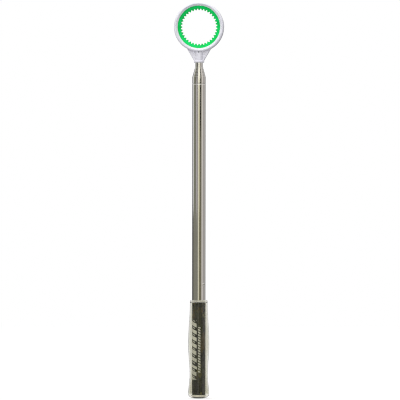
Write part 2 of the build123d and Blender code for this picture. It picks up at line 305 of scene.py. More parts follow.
TURNED_HOLLOW = (0.60, 0.61, 0.63)
TURNED_RIDGE = (0.72, 0.73, 0.75)
TURNED_SMUDGE = (0.50, 0.50, 0.50)


def turned_steel():
    """Lathe-turned stainless with fine rings left by the tool."""
    material, wires, shader = new_material("turned_stainless")
    place = object_place(wires)
    rings = wires.noise(wires.stretched(place, (0.02, 0.02, 1.0)), 5200.0, detail=2.0)
    marks = wires.group(handling_marks, Smudge_Size=160.0, Scuff_Amount=0.4)
    base = wires.blend(wires.spread(rings, 0.35, 0.65), TURNED_HOLLOW, TURNED_RIDGE)
    wires.feed(shader, "Base Color", wires.blend(marks.outputs["Smudges"], base, TURNED_SMUDGE))
    shader.inputs["Metallic"].default_value = 1.0
    wires.feed(shader, "Roughness", wires.math("MULTIPLY_ADD", rings, 0.2, 0.18))
    raise_bump(wires, shader, rings, distance=0.000004)
    return material


BRASS_DIM = (0.80, 0.58, 0.24)
BRASS_BRIGHT = (0.88, 0.67, 0.32)
BRASS_TARNISH = (0.46, 0.31, 0.13)


def spring_brass():
    """Rolled brass strip with a light tarnish in blotches."""
    material, wires, shader = new_material("spring_brass")
    lines = wires.group(drawn_lines, Fineness=3400.0, Streak_Length=0.02)
    marks = wires.group(handling_marks, Smudge_Size=210.0, Scuff_Amount=0.8)
    bright = wires.blend(lines.outputs["Lines"], BRASS_DIM, BRASS_BRIGHT)
    wires.feed(shader, "Base Color", wires.blend(marks.outputs["Smudges"], bright, BRASS_TARNISH))
    shader.inputs["Metallic"].default_value = 1.0
    wires.feed(shader, "Roughness", wires.math("MULTIPLY_ADD", marks.outputs["Smudges"], 0.2, 0.24))
    raise_bump(wires, shader, lines.outputs["Lines"], distance=0.000003)
    return material


MILK_CLEAR = (0.82, 0.81, 0.88)
MILK_CLOUD = (0.88, 0.87, 0.93)
MILK_SCUFF = (0.90, 0.90, 0.92)
MILK_SEAM = (0.34, 0.33, 0.38)
# Half the seam's width in metres, as its dark middle and its faded edge, and how dark it gets.
SEAM_MIDDLE = 0.00005
SEAM_EDGE = 0.00013
SEAM_DARKNESS = 0.55


def milky_plastic():
    """Milky plastic of the head, cloudy inside and satin outside, with a seam where the shells meet."""
    material, wires, shader = new_material("milky_plastic")
    skin = wires.group(moulded_plastic, Cloud_Size=70.0, Grain_Size=2400.0)
    marks = wires.group(handling_marks, Smudge_Size=90.0, Scuff_Amount=0.12)
    milk = wires.blend(skin.outputs["Clouds"], MILK_CLEAR, MILK_CLOUD)
    scuffed = wires.blend(marks.outputs["Scuffs"], milk, MILK_SCUFF)
    depth = wires.add("ShaderNodeSeparateXYZ", Vector=object_place(wires)).outputs["Y"]
    from_seam = wires.math("ABSOLUTE", depth)
    seam = wires.spread(from_seam, SEAM_MIDDLE, SEAM_EDGE, SEAM_DARKNESS, 0.0)
    wires.feed(shader, "Base Color", wires.blend(seam, scuffed, MILK_SEAM))
    wires.feed(shader, "Roughness", wires.math("MULTIPLY_ADD", marks.outputs["Smudges"], 0.10, 0.20))
    shader.inputs["IOR"].default_value = 1.49
    shader.inputs["Transmission Weight"].default_value = 0.15
    shader.inputs["Subsurface Weight"].default_value = 0.15
    shader.inputs["Subsurface Radius"].default_value = (1.0, 1.0, 1.0)
    shader.inputs["Subsurface Scale"].default_value = 0.0008
    raise_bump(wires, shader, skin.outputs["Clouds"], distance=0.00001)
    return material


# Painted shade: both tones of the pin are far darker than steel, standing for the shade of its hole.
PIN_SHADED_HOLLOW = (0.16, 0.20, 0.24)
PIN_SHADED_RIDGE = (0.28, 0.33, 0.38)


def shaded_pin_steel():
    """Dull bluish steel of the cross pin, painted dark with the shade of the hole it sits in, and with the
    fine rings of its turning.
    """
    material, wires, shader = new_material("shaded_pin_steel")
    place = object_place(wires)
    rings = wires.noise(wires.stretched(place, (1.0, 0.05, 1.0)), 6000.0, detail=2.0)
    wires.feed(shader, "Base Color", wires.blend(rings, PIN_SHADED_HOLLOW, PIN_SHADED_RIDGE))
    shader.inputs["Metallic"].default_value = 1.0
    wires.feed(shader, "Roughness", wires.math("MULTIPLY_ADD", rings, 0.2, 0.28))
    return material


RUBBER_DARK = (0.0, 0.54, 0.090)
RUBBER_LIGHT = (0.0, 0.66, 0.130)
RUBBER_BLOOM = (0.01, 0.78, 0.20)


def green_rubber():
    """Soft green insert: satin rubber with darker and lighter patches and a dusty bloom."""
    material, wires, shader = new_material("green_rubber")
    skin = wires.group(moulded_plastic, Cloud_Size=190.0, Grain_Size=2800.0)
    bloom = wires.noise(object_place(wires), 75.0, detail=4.0)
    green = wires.blend(skin.outputs["Clouds"], RUBBER_DARK, RUBBER_LIGHT)
    dusty = wires.blend(wires.spread(bloom, 0.56, 0.75, 0.0, 0.3), green, RUBBER_BLOOM)
    wires.feed(shader, "Base Color", dusty)
    wires.feed(shader, "Roughness", wires.math("MULTIPLY_ADD", skin.outputs["Clouds"], 0.12, 0.42))
    shader.inputs["IOR"].default_value = 1.48
    shader.inputs["Specular IOR Level"].default_value = 0.2
    raise_bump(wires, shader, skin.outputs["Grain"], distance=0.00002)
    return material


STRAW_DEEP = (0.74, 0.735, 0.67)
STRAW_PALE = (0.79, 0.785, 0.72)
# Painted shade: the flare's tint is darkened to stand for the shade on its low walls.
VINYL_FLARE_SHADE = (0.66, 0.65, 0.57)
# Painted light: the butt's tint is lightened to stand for light falling on the base.
VINYL_BUTT_LIGHT = (0.97, 0.96, 0.91)
# Heights over which the painted shade of the flare fades out, and over which the painted light at the butt
# ends.
FLARE_SHADE_FADE = (12.0, 40.0)
BUTT_LIGHT_FADE = (4.0, 6.5)


def clear_vinyl():
    """Clear vinyl of the grip: a straw tint, with painted shade that darkens the flare and painted light
    that clears the butt.

    Its skin has a soft ripple and finger smudges.
    """
    material, wires, shader = new_material("clear_vinyl")
    skin = wires.group(moulded_plastic, Cloud_Size=55.0, Grain_Size=900.0)
    marks = wires.group(handling_marks, Smudge_Size=48.0, Scuff_Amount=0.5)
    straw = wires.blend(skin.outputs["Clouds"], STRAW_DEEP, STRAW_PALE)
    height = wires.group(round_rod, Radius=10.0).outputs["Height"]
    # Painted shade on the flare, then painted light at the butt, both set by height.
    flare_shaded = wires.blend(wires.spread(height, *FLARE_SHADE_FADE), VINYL_FLARE_SHADE, straw)
    wires.feed(shader, "Base Color", wires.blend(wires.spread(height, *BUTT_LIGHT_FADE), VINYL_BUTT_LIGHT, flare_shaded))
    wires.feed(shader, "Roughness", wires.math("MULTIPLY_ADD", marks.outputs["Smudges"], 0.03, 0.015))
    shader.inputs["IOR"].default_value = 1.40
    shader.inputs["Transmission Weight"].default_value = 1.0
    ripple = wires.math("MULTIPLY_ADD", skin.outputs["Grain"], 0.1, skin.outputs["Clouds"])
    raise_bump(wires, shader, ripple, distance=0.00003)
    return material


NATURAL_DEEP = (0.97, 0.94, 0.82)
NATURAL_PALE = (1.0, 0.98, 0.90)


def natural_plastic():
    """Unpigmented translucent plastic of the end plug, with the swirl of its moulding."""
    material, wires, shader = new_material("natural_plastic")
    skin = wires.group(moulded_plastic, Cloud_Size=260.0, Grain_Size=3000.0)
    wires.feed(shader, "Base Color", wires.blend(skin.outputs["Clouds"], NATURAL_DEEP, NATURAL_PALE))
    wires.feed(shader, "Roughness", wires.math("MULTIPLY_ADD", skin.outputs["Clouds"], 0.15, 0.30))
    shader.inputs["Transmission Weight"].default_value = 0.7
    shader.inputs["IOR"].default_value = 1.30
    raise_bump(wires, shader, skin.outputs["Grain"], distance=0.00001)
    return material


# Marks printed on the film: slanted bars on the left of the front, dashes on the right.
# Across is arc length from the front, up is height, and a share is a part of one pitch.
BARS_LOW = 22.5
BARS_HIGH = 93.0
BARS_LEFT = -9.6
BARS_RIGHT = -1.3
BARS_RIGHT_VARIES = -0.8
BARS_PITCH = 8.3
BARS_SLANT = 0.42
THICK_START = 0.08
THICK_END = 0.46
THICK_VARIES = 0.22
THIN_START = 0.80
THIN_END = 0.91
THIN_IN_LEFT = 1.2
THIN_IN_RIGHT = 2.6
DASHES_LOW = 31.0
DASHES_HIGH = 85.0
DASHES_LEFT = -0.2
DASHES_RIGHT = 2.6
DASHES_PITCH = 3.1
DASHES_SLANT = 0.5
DASH_START = 0.15
DASH_END = 0.78
DASH_INK = 0.95
BAR_EDGE = 0.14
BAR_SIDE_EDGE = 0.2
PRINT_EDGE = 0.12
INK = (1.0, 0.99, 0.88)
OLIVE_DARK = (0.012, 0.014, 0.001)
OLIVE_LIGHT = (0.034, 0.037, 0.005)
LEAF_BROWN = (0.085, 0.060, 0.012)
REED_TAN = (0.150, 0.140, 0.040)
FILM_SPECK = (0.018, 0.018, 0.003)
FILM_RADIUS = 8.06


def inside_of(wires, value, low, high, edge=PRINT_EDGE):
    """A mask that is one between low and high, with a soft printed edge."""
    above = wires.spread(value, low - edge, low + edge)
    below = wires.spread(value, high - edge, high + edge, 1.0, 0.0)
    return wires.math("MULTIPLY", above, below)


def woodland_patches(wires, flat):
    """Olive ground with brown and tan patches, each from its own shifted and stretched noise."""
    tall = wires.stretched(flat, (1.0, 0.45, 1.0))
    first = wires.noise(tall, 0.085, detail=3.0, roughness=0.5)
    second_place = wires.add("ShaderNodeMapping", Vector=tall, Location=(31.0, 17.0, 5.0)).outputs[0]
    second = wires.noise(second_place, 0.11, detail=3.0)
    third_place = wires.add("ShaderNodeMapping", Vector=tall, Location=(-12.0, 44.0, 9.0)).outputs[0]
    third = wires.noise(third_place, 0.14, detail=2.0)
    olive = wires.blend(wires.spread(first, 0.47, 0.50), OLIVE_DARK, OLIVE_LIGHT)
    brown = wires.blend(wires.spread(second, 0.57, 0.59), olive, LEAF_BROWN)
    return wires.blend(wires.spread(third, 0.61, 0.63), brown, REED_TAN)


def slanted_bars(wires, arc, height):
    """A mask of bars in pairs: a long thick one and a short thin one in every pitch.

    How thick a long bar is, and how far right it goes, comes from a chance per pitch.
    """
    slanted = wires.math("MULTIPLY_ADD", arc, BARS_SLANT, height)
    turns = wires.math("DIVIDE", slanted, BARS_PITCH)
    number = wires.math("FLOOR", turns)
    share = wires.math("FRACT", turns)
    chance = wires.add("ShaderNodeTexWhiteNoise", {"noise_dimensions": "1D"}, W=number).outputs[0]
    edge = BAR_EDGE / BARS_PITCH
    thick_end = wires.math("MULTIPLY_ADD", chance, THICK_VARIES, THICK_END)
    past_end = wires.math("ADD", thick_end, 2 * edge)
    started = wires.spread(share, THICK_START - edge, THICK_START + edge)
    thick = wires.math("MULTIPLY", started, wires.spread(share, thick_end, past_end, 1.0, 0.0))
    right_end = wires.math("MULTIPLY_ADD", chance, BARS_RIGHT_VARIES, BARS_RIGHT)
    before_end = wires.spread(wires.math("SUBTRACT", right_end, arc), 0.0, BAR_SIDE_EDGE)
    after_start = wires.spread(arc, BARS_LEFT, BARS_LEFT + BAR_SIDE_EDGE)
    long = wires.math("MULTIPLY", thick, wires.math("MULTIPLY", before_end, after_start))
    thin = inside_of(wires, share, THIN_START, THIN_END, edge=edge)
    inner = inside_of(wires, arc, BARS_LEFT + THIN_IN_LEFT, BARS_RIGHT - THIN_IN_RIGHT)
    short = wires.math("MULTIPLY", thin, inner)
    marks = wires.math("MAXIMUM", short, long)
    return wires.math("MULTIPLY", marks, inside_of(wires, height, BARS_LOW, BARS_HIGH))


def small_dashes(wires, arc, height):
    """A mask of one upright row of small slanted dashes."""
    tilted = wires.math("MULTIPLY_ADD", arc, DASHES_SLANT, height)
    share = wires.math("FRACT", wires.math("DIVIDE", tilted, DASHES_PITCH))
    dash = inside_of(wires, share, DASH_START, DASH_END, edge=PRINT_EDGE / DASHES_PITCH)
    row = wires.math("MULTIPLY", dash, inside_of(wires, arc, DASHES_LEFT, DASHES_RIGHT))
    return wires.math("MULTIPLY", row, inside_of(wires, height, DASHES_LOW, DASHES_HIGH))


def printed_film():
    """Printed film: woodland patches with plain slanted bars and dashes in cream ink."""
    material, wires, shader = new_material("printed_film")
    where = wires.group(round_rod, Radius=FILM_RADIUS)
    arc = where.outputs["Arc"]
    height = where.outputs["Height"]
    flat = wires.add("ShaderNodeCombineXYZ", X=arc, Y=height).outputs[0]
    patches = woodland_patches(wires, flat)
    grain = wires.noise(object_place(wires), 3000.0, detail=2.0)
    ground = wires.blend(wires.spread(grain, 0.3, 0.7, 0.0, 0.25), patches, FILM_SPECK)
    bars = slanted_bars(wires, arc, height)
    dashes = wires.math("MULTIPLY", small_dashes(wires, arc, height), DASH_INK)
    ink = wires.math("MAXIMUM", bars, dashes)
    worn = wires.math("MULTIPLY", ink, wires.spread(grain, 0.25, 0.40, 0.85, 1.0))
    wires.feed(shader, "Base Color", wires.blend(worn, ground, INK))
    wires.feed(shader, "Roughness", wires.math("MULTIPLY_ADD", ink, 0.15, 0.35))
    shader.inputs["Specular IOR Level"].default_value = 0.15
    raise_bump(wires, shader, ink, distance=0.00001)
    return material


# ---- Mesh helpers ----
def add_mesh(name, points, faces, material):
    """A smooth mesh object at the origin from millimetre points and rows of four corners."""
    mesh = bpy.data.meshes.new(name)
    mesh.from_pydata((points * MM).tolist(), [], faces.tolist())
    build = bmesh.new()
    build.from_mesh(mesh)
    bmesh.ops.remove_doubles(build, verts=build.verts, dist=1e-7)
    build.to_mesh(mesh)
    build.free()
    mesh.polygons.foreach_set("use_smooth", np.ones(len(mesh.polygons), dtype=bool))
    mesh.update()
    mesh.materials.append(material)
    piece = bpy.data.objects.new(name, mesh)
    bpy.context.scene.collection.objects.link(piece)
    return piece


def grid_faces(columns, rows, wrap_rows):
    """Quads of a grid whose columns close on themselves; point index = column * rows + row."""
    column = np.arange(columns)[:, None]
    row = np.arange(rows if wrap_rows else rows - 1)[None, :]
    next_column = (column + 1) % columns
    next_row = (row + 1) % rows
    corners = (
        column * rows + row,
        next_column * rows + row,
        next_column * rows + next_row,
        column * rows + next_row,
    )
    return np.stack([np.broadcast_to(c, (columns, row.shape[1])) for c in corners], axis=-1)


def softened(corners, steps=4, closed=True):
    """An outline with each corner rounded.

    A corner is (radius, height, round). The rounding is the quadratic curve that leaves
    one side, round away from the corner, and joins the next side at the same distance;
    a point beside each end of the curve keeps the flat sides flat.
    """
    given = np.array([corner[:2] for corner in corners], dtype=float)
    rounds = np.array([corner[2] for corner in corners], dtype=float)
    before = np.roll(given, 1, axis=0) - given
    after = np.roll(given, -1, axis=0) - given
    pieces = []
    share = np.linspace(0.0, 1.0, steps + 1)[:, None]
    for number, corner in enumerate(given):
        at_end = not closed and number in (0, len(given) - 1)
        if rounds[number] == 0.0 or at_end:
            pieces.append(corner[None, :])
            continue
        to_before = before[number] / np.linalg.norm(before[number])
        to_after = after[number] / np.linalg.norm(after[number])
        start = corner + to_before * rounds[number]
        end = corner + to_after * rounds[number]
        curve = (1 - share) ** 2 * start + 2 * share * (1 - share) * corner + share**2 * end
        beside = rounds[number] * 1.4
        pieces.append(np.vstack([corner + to_before * beside, curve, corner + to_after * beside]))
    return np.vstack(pieces)


def turned(name, outline, material, turns=TUBE_TURNS, closed=True):
    """A surface turned about the rod.

    Point (angle, place on the outline) = (radius * cos, radius * sin, height). The outline
    climbs on the outside and comes down on the inside, so that the faces look outwards.
    """
    angle = (2 * np.pi * np.arange(turns) / turns)[:, None]
    radius = outline[None, :, 0]
    height = np.broadcast_to(outline[None, :, 1], (turns, len(outline)))
    points = np.stack([radius * np.cos(angle), radius * np.sin(angle), height], axis=-1)
    faces = grid_faces(turns, len(outline), closed)
    return add_mesh(name, points.reshape(-1, 3), faces.reshape(-1, 4), material)


# ---- Rod tubes ----
def tube_radius(section):
    return TUBE_RADIUS - (section - 1) * RADIUS_STEP


def bead(radius, height, downwards):
    """The stop bead: the wall dips by ROLL_IN in a parabola over the bead's width."""
    share = np.linspace(-1.0, 1.0, BEAD_STEPS)
    dip = ROLL_IN * (1 - share**2)
    place = height + share * BEAD_HALF
    curve = np.stack([radius - dip, place], axis=-1)
    ends = np.array([[radius, height - 1.5 * BEAD_HALF], [radius, height + 1.5 * BEAD_HALF]])
    curve = np.vstack([ends[:1], curve, ends[1:]])
    return curve[::-1] if downwards else curve


def joined(*parts):
    return np.vstack([np.atleast_2d(np.asarray(part, dtype=float)) for part in parts])


def arc_corner(corner, start_turn, radius, steps=6):
    """A quarter circle of the given radius about a centre, from start_turn on, in radians."""
    turn = np.linspace(start_turn, start_turn + np.pi / 2, steps + 1)
    return np.stack([corner[0] + radius * np.cos(turn), corner[1] + radius * np.sin(turn)], axis=-1)


def tube_outline(section, extra_outer=None, extra_inner=None):
    """Half section of a tube: foot, sleeve seat, stop bead, rolled mouth and bore.

    The extra rows, where given, lie along the plain wall between the foot and the bead.
    """
    outside = tube_radius(section)
    inside = outside - TUBE_WALL
    foot = OUTER_FOOT if section == 1 else INNER_FOOT
    top = LAST_TUBE_TOP if section == SECTIONS else OUTER_MOUTH + (section - 1) * MOUTH_STAGGER
    rising = [
        [outside - END_ROUND, foot],
        [outside - END_STEP, foot + END_STEP],
        [outside, foot + END_ROUND],
        [outside, foot + END_LAND],
    ]
    falling = [[inside, foot + END_LAND], [inside, foot + END_ROUND], [inside + END_ROUND, foot]]
    if section > 1:
        seat = outside - SEAT_DEPTH
        rising += [
            [outside, SEAT_LOW - SEAT_LAND],
            [outside, SEAT_LOW],
            [seat, SEAT_LOW + END_STEP],
            [seat, SEAT_LOW + SEAT_LAND],
            [seat, SEAT_HIGH - SEAT_LAND],
            [seat, SEAT_HIGH - END_STEP],
            [outside, SEAT_HIGH],
            [outside, SEAT_HIGH + SEAT_LAND],
        ]
    if section == SECTIONS:
        mouth = [
            [outside, top - END_LAND],
            [outside, top - END_ROUND],
            [outside - END_STEP, top - END_STEP],
            [outside - END_ROUND, top],
            [inside + END_ROUND, top],
            [inside + END_STEP, top - END_STEP],
            [inside, top - END_ROUND],
            [inside, top - END_LAND],
        ]
        return joined(rising, mouth, falling)
    middle = top - BEAD_DROP
    lip = inside - ROLL_IN
    land = top - MOUTH_LAND
    flare = land - MOUTH_TAPER
    parts = [rising]
    if extra_outer is not None:
        parts.append(extra_outer)
    parts += [
        bead(outside, middle, downwards=False),
        [[outside, flare], [outside, top - MOUTH_ROUND - 0.2]],
        arc_corner((outside - MOUTH_ROUND, top - MOUTH_ROUND), 0.0, MOUTH_ROUND),
        [[lip + out, top - down] for out, down in LIP_EDGE],
        [[lip, land + 0.15], [lip + 0.01, land]],
        [[inside - 0.01, flare], [inside, flare - 0.15]],
        bead(inside, middle, downwards=True),
    ]
    if extra_inner is not None:
        parts.append(extra_inner)
    parts.append(falling)
    return joined(*parts)


def outer_tube(material):
    """The outer tube with its pierced drain hole.

    The wall is a turned grid with a square window left out round the hole. A strip fills
    the window: each of its rows runs once round the hole, and goes in steps from the
    square outside the wall to a circle, over the raised rim, through the wall, and out
    to the same square on the inside.
    """
    turns = OUTER_TUBE_TURNS
    half = DRAIN_WINDOW
    outside = tube_radius(1)
    inside = outside - TUBE_WALL
    cell = 2 * np.pi * outside / turns
    steps = np.arange(-half, half + 1) * cell
    rows_out = np.stack([np.full(len(steps), outside), DRAIN_HEIGHT + steps], axis=-1)
    rows_in = np.stack([np.full(len(steps), inside), DRAIN_HEIGHT + steps[::-1]], axis=-1)
    outline = tube_outline(1, rows_out, rows_in)
    count = len(outline)
    start_out = int(np.flatnonzero(np.all(outline == rows_out[0], axis=1))[0])
    start_in = int(np.flatnonzero(np.all(outline == rows_in[0], axis=1))[0])
    angle = (DRAIN_ANGLE + 2 * np.pi * (np.arange(turns) - half) / turns)[:, None]
    radius = outline[None, :, 0]
    height = np.broadcast_to(outline[None, :, 1], (turns, count))
    points = np.stack([radius * np.cos(angle), radius * np.sin(angle), height], axis=-1)
    faces = grid_faces(turns, count, True)
    kept = np.ones(faces.shape[:2], dtype=bool)
    kept[: 2 * half, start_out : start_out + 2 * half] = False
    kept[: 2 * half, start_in : start_in + 2 * half] = False

    side = steps[:-1]
    edge = np.full(len(side), half * cell)
    square = np.vstack(
        [
            np.stack([side, -edge], axis=-1),
            np.stack([edge, side], axis=-1),
            np.stack([-side, edge], axis=-1),
            np.stack([-edge, -side], axis=-1),
        ]
    )
    circle = square / np.linalg.norm(square, axis=1)[:, None]
    rim = DRAIN_RADIUS + DRAIN_RIM_WIDTH
    rise = DRAIN_RIM_HEIGHT
    # How far each row lies from the hole's middle, where None is the square, and from the axis.
    path = [
        (None, outside),
        (rim + 0.25, outside),
        (rim, outside + 0.01),
        (rim - 0.05, outside + 0.6 * rise),
        (rim - 0.16, outside + 0.95 * rise),
        (rim - 0.30, outside + rise),
        (DRAIN_RADIUS + 0.14, outside + 0.95 * rise),
        (DRAIN_RADIUS + 0.04, outside + 0.7 * rise),
        (DRAIN_RADIUS, outside + 0.3 * rise),
        (DRAIN_RADIUS, inside + 0.06),
        (DRAIN_RADIUS + 0.03, inside),
        (None, inside),
    ]
    strip_rows = []
    for reach, out in path:
        spread = square if reach is None else circle * reach
        turn = DRAIN_ANGLE + spread[:, 0] / outside
        up = DRAIN_HEIGHT + spread[:, 1]
        strip_rows.append(np.stack([out * np.cos(turn), out * np.sin(turn), up], axis=-1))
    strip = np.stack(strip_rows, axis=1)
    strip_faces = grid_faces(len(square), len(path), False) + turns * count
    all_points = np.vstack([points.reshape(-1, 3), strip.reshape(-1, 3)])
    all_faces = np.vstack([faces[kept], strip_faces.reshape(-1, 4)])
    return add_mesh("outer_tube_drawn", all_points, all_faces, material)


# ---- Grip ----
def clamped_curve(knots, per_span=14):
    """A smooth side through (radius, height) knots, upright at both ends.

    Each span is the cubic whose slopes agree with its neighbours' and whose bending
    runs on through every inner knot; the slope is nought at the two ends.
    """
    radius = np.array([knot[0] for knot in knots])
    height = np.array([knot[1] for knot in knots])
    step = np.diff(height)
    rise = np.diff(radius) / step
    count = len(knots)
    system = np.eye(count)
    wanted = np.zeros(count)
    for number in range(1, count - 1):
        system[number, number - 1] = step[number]
        system[number, number] = 2 * (step[number - 1] + step[number])
        system[number, number + 1] = step[number - 1]
        wanted[number] = 3 * (step[number] * rise[number - 1] + step[number - 1] * rise[number])
    slope = np.linalg.solve(system, wanted)
    share = np.linspace(0.0, 1.0, per_span, endpoint=False)[None, :]
    low, high = radius[:-1, None], radius[1:, None]
    low_slope, high_slope = (slope[:-1] * step)[:, None], (slope[1:] * step)[:, None]
    curve = (
        low * (2 * share**3 - 3 * share**2 + 1)
        + low_slope * (share**3 - 2 * share**2 + share)
        + high * (3 * share**2 - 2 * share**3)
        + high_slope * (share**3 - share**2)
    )
    place = height[:-1, None] + share * step[:, None]
    points = np.stack([curve.ravel(), place.ravel()], axis=-1)
    return np.vstack([points, [[radius[-1], height[-1]]]])


def quarter_ellipse(start, end, steps=14):
    """From a level start outwards and up to an upright end, along a quarter ellipse."""
    turn = np.linspace(0.0, np.pi / 2, steps + 1)
    across = start[0] + (end[0] - start[0]) * np.sin(turn)
    upwards = end[1] - (end[1] - start[1]) * np.cos(turn)
    return np.stack([across, upwards], axis=-1)


GRIP_WALL = 1.4
GRIP_SIDE = ((12.5, 5.2), (11.05, 21.5), (12.45, 60.0), (10.4, 114.8))
GRIP_TURNS = 192
GRIP_FLAT = 4.0
GRIP_FLOOR = 2.0
# The rim at the top, whose bore hugs the tube.
RIM_TOP = 116.8
RIM_LOW = 114.8
RIM_OUT = 10.4
RIM_ROUND = 0.8
RIM_SHOULDER = 115.4
RIM_LIP = 8.5
# The bore from its rounded top edge to its rounded low one.
RIM_BORE = ((8.14, 116.78), (8.06, 116.70), (8.04, 116.5), (8.04, 115.1), (8.06, 114.86), (8.16, 114.8))
# Under the rim, where its underside starts to curve down, and where it meets the inner wall.
UNDER_RIM_IN = 8.3
UNDER_RIM_FOOT = 113.2
# The socket wall that stands on the floor and centres the tube's foot.
SOCKET_OUT = 9.17
SOCKET_IN = 8.17
SOCKET_ROOT = 2.2
SOCKET_EDGE = 4.4
SOCKET_CROWN = ((9.12, 4.55), (9.0, 4.6), (8.35, 4.6), (8.22, 4.55))


def grip(material):
    """The hollow clear sleeve, as one outline turned about the rod.

    It runs up the domed butt, flare, waist and bulge, over the rim, down the bore and the
    inner wall, and over the socket wall to the middle of the floor.
    """
    inner_side = [(radius - GRIP_WALL, height) for radius, height in GRIP_SIDE]
    outline = joined(
        [[0.0, 0.0], [GRIP_FLAT / 2, 0.0]],
        quarter_ellipse((GRIP_FLAT, 0.0), GRIP_SIDE[0]),
        clamped_curve(GRIP_SIDE)[1:],
        [[RIM_OUT, RIM_SHOULDER]],
        arc_corner((RIM_OUT - RIM_ROUND, RIM_TOP - RIM_ROUND), 0.0, RIM_ROUND, steps=8),
        [[RIM_LIP, RIM_TOP]],
        RIM_BORE,
        quarter_ellipse((UNDER_RIM_IN, -RIM_LOW), (RIM_OUT - GRIP_WALL, -UNDER_RIM_FOOT), steps=8) * (1, -1),
        clamped_curve(inner_side)[::-1][2:],
        quarter_ellipse((SOCKET_OUT, GRIP_FLOOR), inner_side[0])[::-1][1:],
        [[SOCKET_OUT, SOCKET_ROOT], [SOCKET_OUT, SOCKET_EDGE]],
        SOCKET_CROWN,
        [[SOCKET_IN, SOCKET_EDGE], [SOCKET_IN, SOCKET_ROOT], [SOCKET_IN, GRIP_FLOOR]],
        [[6.0, GRIP_FLOOR], [0.0, GRIP_FLOOR]],
    )
    return turned("clear_grip", outline, material, turns=GRIP_TURNS, closed=False)


LABEL_TURNS = 240
LABEL_LOW = 4.42
LABEL_HIGH = 114.68
LABEL_INNER = 8.0
LABEL_OUTER = 8.07
LABEL_EDGE = 0.01
LABEL_CORNER = 0.02
# Where the film's ends lap: the middle and half the width in radians, and the rise.
LAP_MIDDLE = np.pi / 2 + 0.12
LAP_HALF = 0.20
LAP_EDGE = 0.02
LAP_RISE = 0.045


def label(material):
    """The printed film round the tube, whose two ends lap by a few millimetres at the back.

    Point (angle, place on the outline) = (radius * cos, radius * sin, height). The outline's
    outer side steps out by a little where the lap is.
    """
    angle = (-np.pi / 2 + 2 * np.pi * np.arange(LABEL_TURNS) / LABEL_TURNS)[:, None]
    near = LABEL_INNER + LABEL_EDGE
    far = LABEL_OUTER - LABEL_EDGE
    outline = np.array(
        [
            [LABEL_INNER, LABEL_LOW + LABEL_CORNER],
            [near, LABEL_LOW],
            [far, LABEL_LOW],
            [LABEL_OUTER, LABEL_LOW + LABEL_CORNER],
            [LABEL_OUTER, (LABEL_LOW + LABEL_HIGH) / 2],
            [LABEL_OUTER, LABEL_HIGH - LABEL_CORNER],
            [far, LABEL_HIGH],
            [near, LABEL_HIGH],
            [LABEL_INNER, LABEL_HIGH - LABEL_CORNER],
        ]
    )
    lap = np.clip((LAP_HALF - np.abs(angle - LAP_MIDDLE)) / LAP_EDGE, 0.0, 1.0)
    outer_share = np.clip((outline[:, 0] - near) / (far - near), 0.0, 1.0)
    radius = outline[None, :, 0] + LAP_RISE * lap * outer_share[None, :]
    height = np.broadcast_to(outline[None, :, 1], radius.shape)
    points = np.stack([radius * np.cos(angle), radius * np.sin(angle), height], axis=-1)
    faces = grid_faces(LABEL_TURNS, len(outline), True)
    return add_mesh("printed_label", points.reshape(-1, 3), faces.reshape(-1, 4), material)


# ---- Soft insert ----
RING_CENTRE = 442.095
TEETH = 36
TOOTH_COLUMNS = 28
TOOTH_ROOT = 21.835
TOOTH_TIP = 20.085
TOOTH_TIP_WIDTH = 0.8
TOOTH_ROOT_WIDTH = 2.8
FLANK_EASE = 0.4
INSERT_RIM = 27.425
INSERT_FACE = 25.185
INSERT_HALF = 3.88
FUNNEL_HALF = 2.5
# Half a tooth's nose from its face inwards: depth, and share of the tooth's full reach.
NOSE = ((2.1, 0.0), (1.8, 0.0), (1.79, 0.30), (1.74, 0.80), (1.62, 0.95), (1.45, 1.0), (0.9, 1.0))


def tooth_shape(angle):
    """How far a tooth reaches in at an angle: one on its tip, nought between the teeth.

    The flank from tip to root is a mean of an even fall and one eased at both ends.
    """
    pitch = 2 * np.pi / TEETH
    away = np.abs((angle + pitch / 2) % pitch - pitch / 2)
    tip = TOOTH_TIP_WIDTH / 2 / TOOTH_TIP
    root = TOOTH_ROOT_WIDTH / 2 / TOOTH_ROOT
    share = np.clip((root - away) / (root - tip), 0.0, 1.0)
    eased = share * share * (3 - 2 * share)
    return (1 - FLANK_EASE) * share + FLANK_EASE * eased


def soft_insert(material):
    """The toothed insert: one outline carried round the ring's axis.

    Point (angle, place) = (radius * sin, depth, centre + radius * cos). The radius of the
    nose points is drawn in towards the tooth tip by the tooth shape at that angle.
    """
    columns = TEETH * TOOTH_COLUMNS
    angle = (2 * np.pi * np.arange(columns) / columns)[:, None]
    sides = softened(
        [
            (TOOTH_ROOT, -FUNNEL_HALF, 0.25),
            (INSERT_FACE, -INSERT_HALF, 0.2),
            (INSERT_RIM, -INSERT_HALF, 0.3),
            (INSERT_RIM, INSERT_HALF, 0.3),
            (INSERT_FACE, INSERT_HALF, 0.2),
            (TOOTH_ROOT, FUNNEL_HALF, 0.25),
        ],
        steps=3,
    )
    front_nose = np.array(NOSE)
    nose = np.vstack([front_nose, [[0.0, 1.0]], front_nose[::-1] * (-1, 1)])
    depth = np.concatenate([sides[:, 1], nose[:, 0]])
    base = np.concatenate([sides[:, 0], np.full(len(nose), TOOTH_ROOT)])
    reach = np.concatenate([np.zeros(len(sides)), nose[:, 1]])
    radius = base[None, :] - (TOOTH_ROOT - TOOTH_TIP) * reach[None, :] * tooth_shape(angle)
    depths = np.broadcast_to(depth[None, :], radius.shape)
    points = np.stack([radius * np.sin(angle), depths, RING_CENTRE + radius * np.cos(angle)], axis=-1)
    faces = grid_faces(columns, len(depth), True)
    return add_mesh("toothed_insert", points.reshape(-1, 3), faces.reshape(-1, 4), material)


